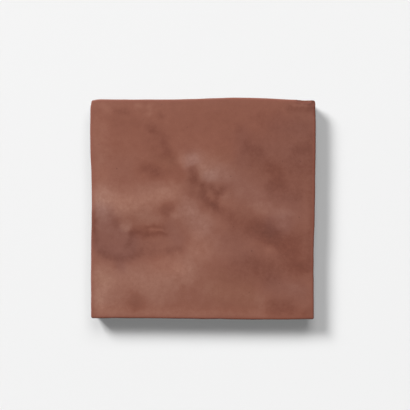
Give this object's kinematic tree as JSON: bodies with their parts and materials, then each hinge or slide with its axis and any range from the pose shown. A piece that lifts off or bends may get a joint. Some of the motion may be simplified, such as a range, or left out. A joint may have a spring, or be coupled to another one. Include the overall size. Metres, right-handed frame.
{
  "type": "zellige-look ceramic wall tile",
  "caption": "Square hand-cut ceramic tile with a wavy red-brown glazed face, wandering edges and undercut clay sides, for covering a wall or floor.",
  "frame": {"origin": "middle of the flat back, on the plane that the tile is bedded on", "axes": "+Z out through the glazed face, +X to the right and +Y up the face as it is looked at"},
  "size_m": [0.1017, 0.1001, 0.0102],
  "materials": {
    "glaze": "satin red-brown glaze over bare terracotta sides and back"
  },
  "bodies": {
    "root": {"tile": "glaze"}
  },
  "joints": []
}
